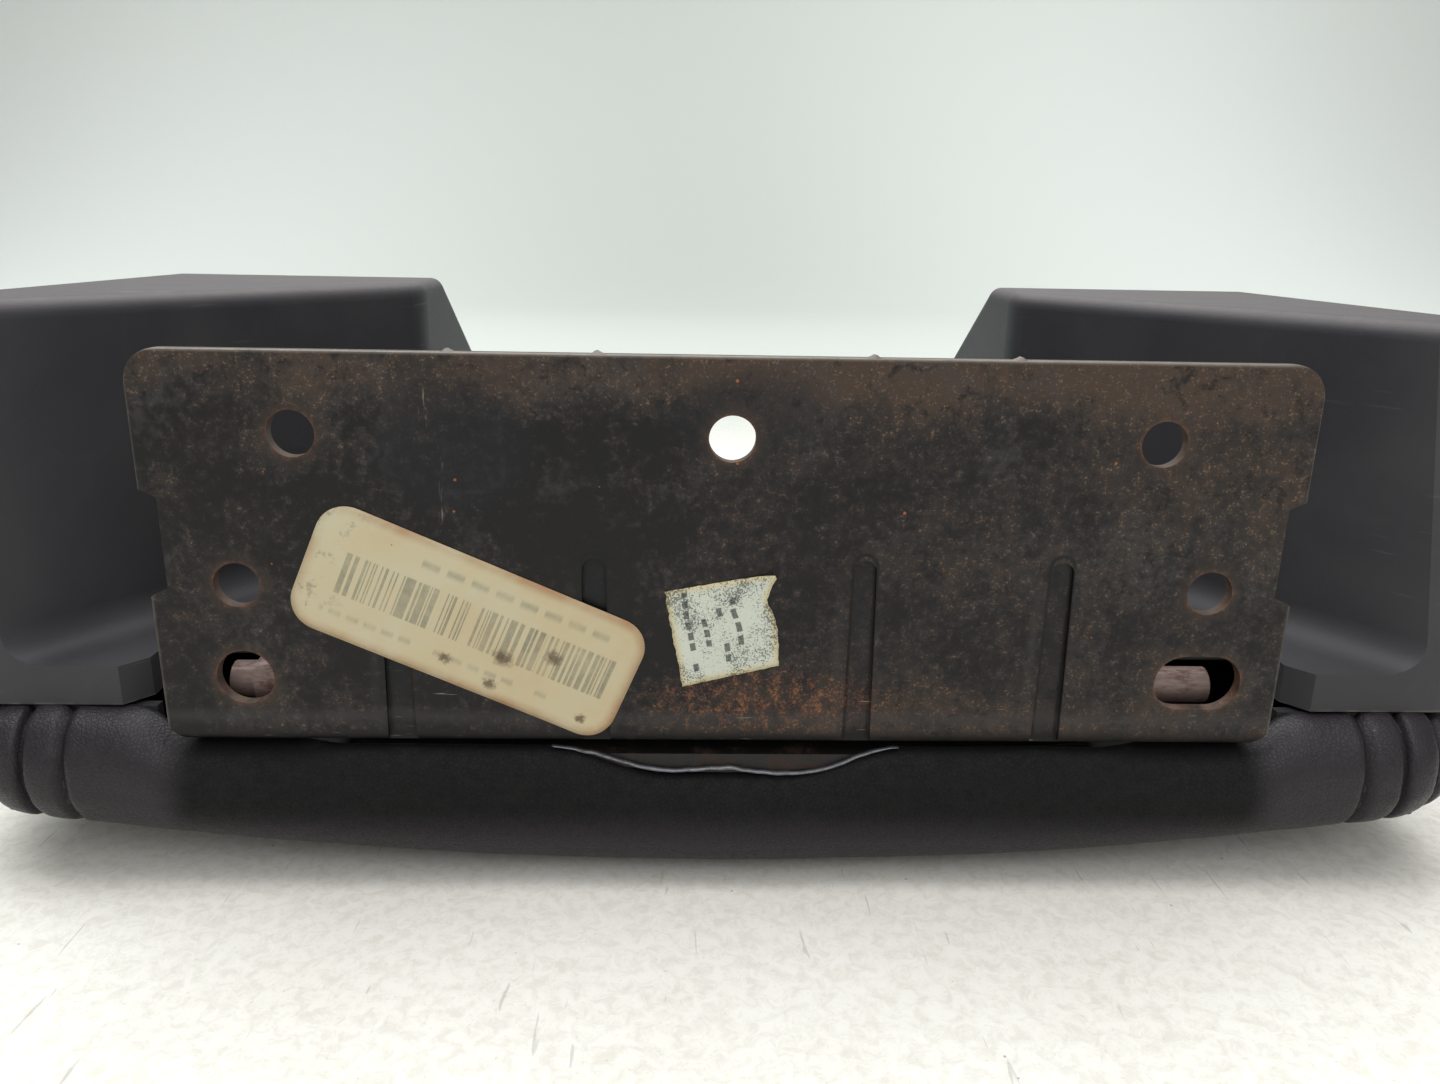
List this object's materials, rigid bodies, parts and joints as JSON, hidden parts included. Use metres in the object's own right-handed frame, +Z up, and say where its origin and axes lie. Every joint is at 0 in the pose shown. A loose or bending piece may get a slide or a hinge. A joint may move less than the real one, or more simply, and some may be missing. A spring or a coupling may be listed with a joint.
{
  "type": "console armrest lid",
  "caption": "Padded vehicle console armrest lid lying upside down, with a moulded underside of two tall pods, a push latch and a bolted steel hinge bracket.",
  "frame": {"origin": "centre of the footprint, on the surface that the padded top lies on", "axes": "+X to the right seen from the hinge end, +Y from the hinge to the latch, +Z up towards the moulded underside"},
  "size_m": [0.325, 0.258, 0.116],
  "materials": {
    "leather": "soft satin grained cover",
    "foam": "open-cell polyurethane foam",
    "moulding": "fine grained charcoal moulding",
    "tray": "plain black moulding",
    "bracket": "thin black coat, rust mottled",
    "leaf": "thin black coat, rusted at the cut edges",
    "pin": "plated steel tinted pink by rust",
    "bush": "natural nylon",
    "spring": "oiled spring steel",
    "screw": "black zinc plated steel",
    "ring": "phosphated spring steel",
    "label": "yellowed adhesive paper with faded bars",
    "tape": "torn grey paper tape",
    "latch": "satin black moulding",
    "rubber": "matt black rubber"
  },
  "bodies": {
    "lid": {"cover_centre_panel": "leather", "cover_side_panel_left": "leather", "cover_side_panel_right": "leather", "foam_pad": "foam", "pad_tray": "tray", "moulded_underside": "moulding", "hinge_leaf": "leaf", "hinge_pin": "pin", "retaining_ring": "ring", "torsion_spring_left": "spring", "torsion_spring_right": "spring", "moulding_screws": "screw", "leaf_screws": "screw", "latch_bezel": "latch", "latch_guide": "moulding", "latch_spring": "spring", "rubber_stops": "rubber"},
    "bracket": {"hinge_plate": "bracket", "part_label": "label", "tape_scrap": "tape", "hinge_bush_left": "bush", "hinge_bush_right": "bush"},
    "latch_slider": {"latch_button": "latch", "latch_hook": "latch"}
  },
  "joints": [
    {"name": "hinge_open", "type": "hinge", "parent": "lid", "child": "bracket", "pos_m": [0, -0.117, 0.0415], "axis": [1, 0, 0], "range_deg": [0, 90], "deforming": ["torsion_spring_left", "torsion_spring_right"]},
    {"name": "latch_press", "type": "slide", "parent": "lid", "child": "latch_slider", "axis": [0, -1, 0], "range_m": [0, 0.004], "stiffness_N_per_m": 400, "springref_m": -0.003, "deforming": ["latch_spring"]}
  ]
}
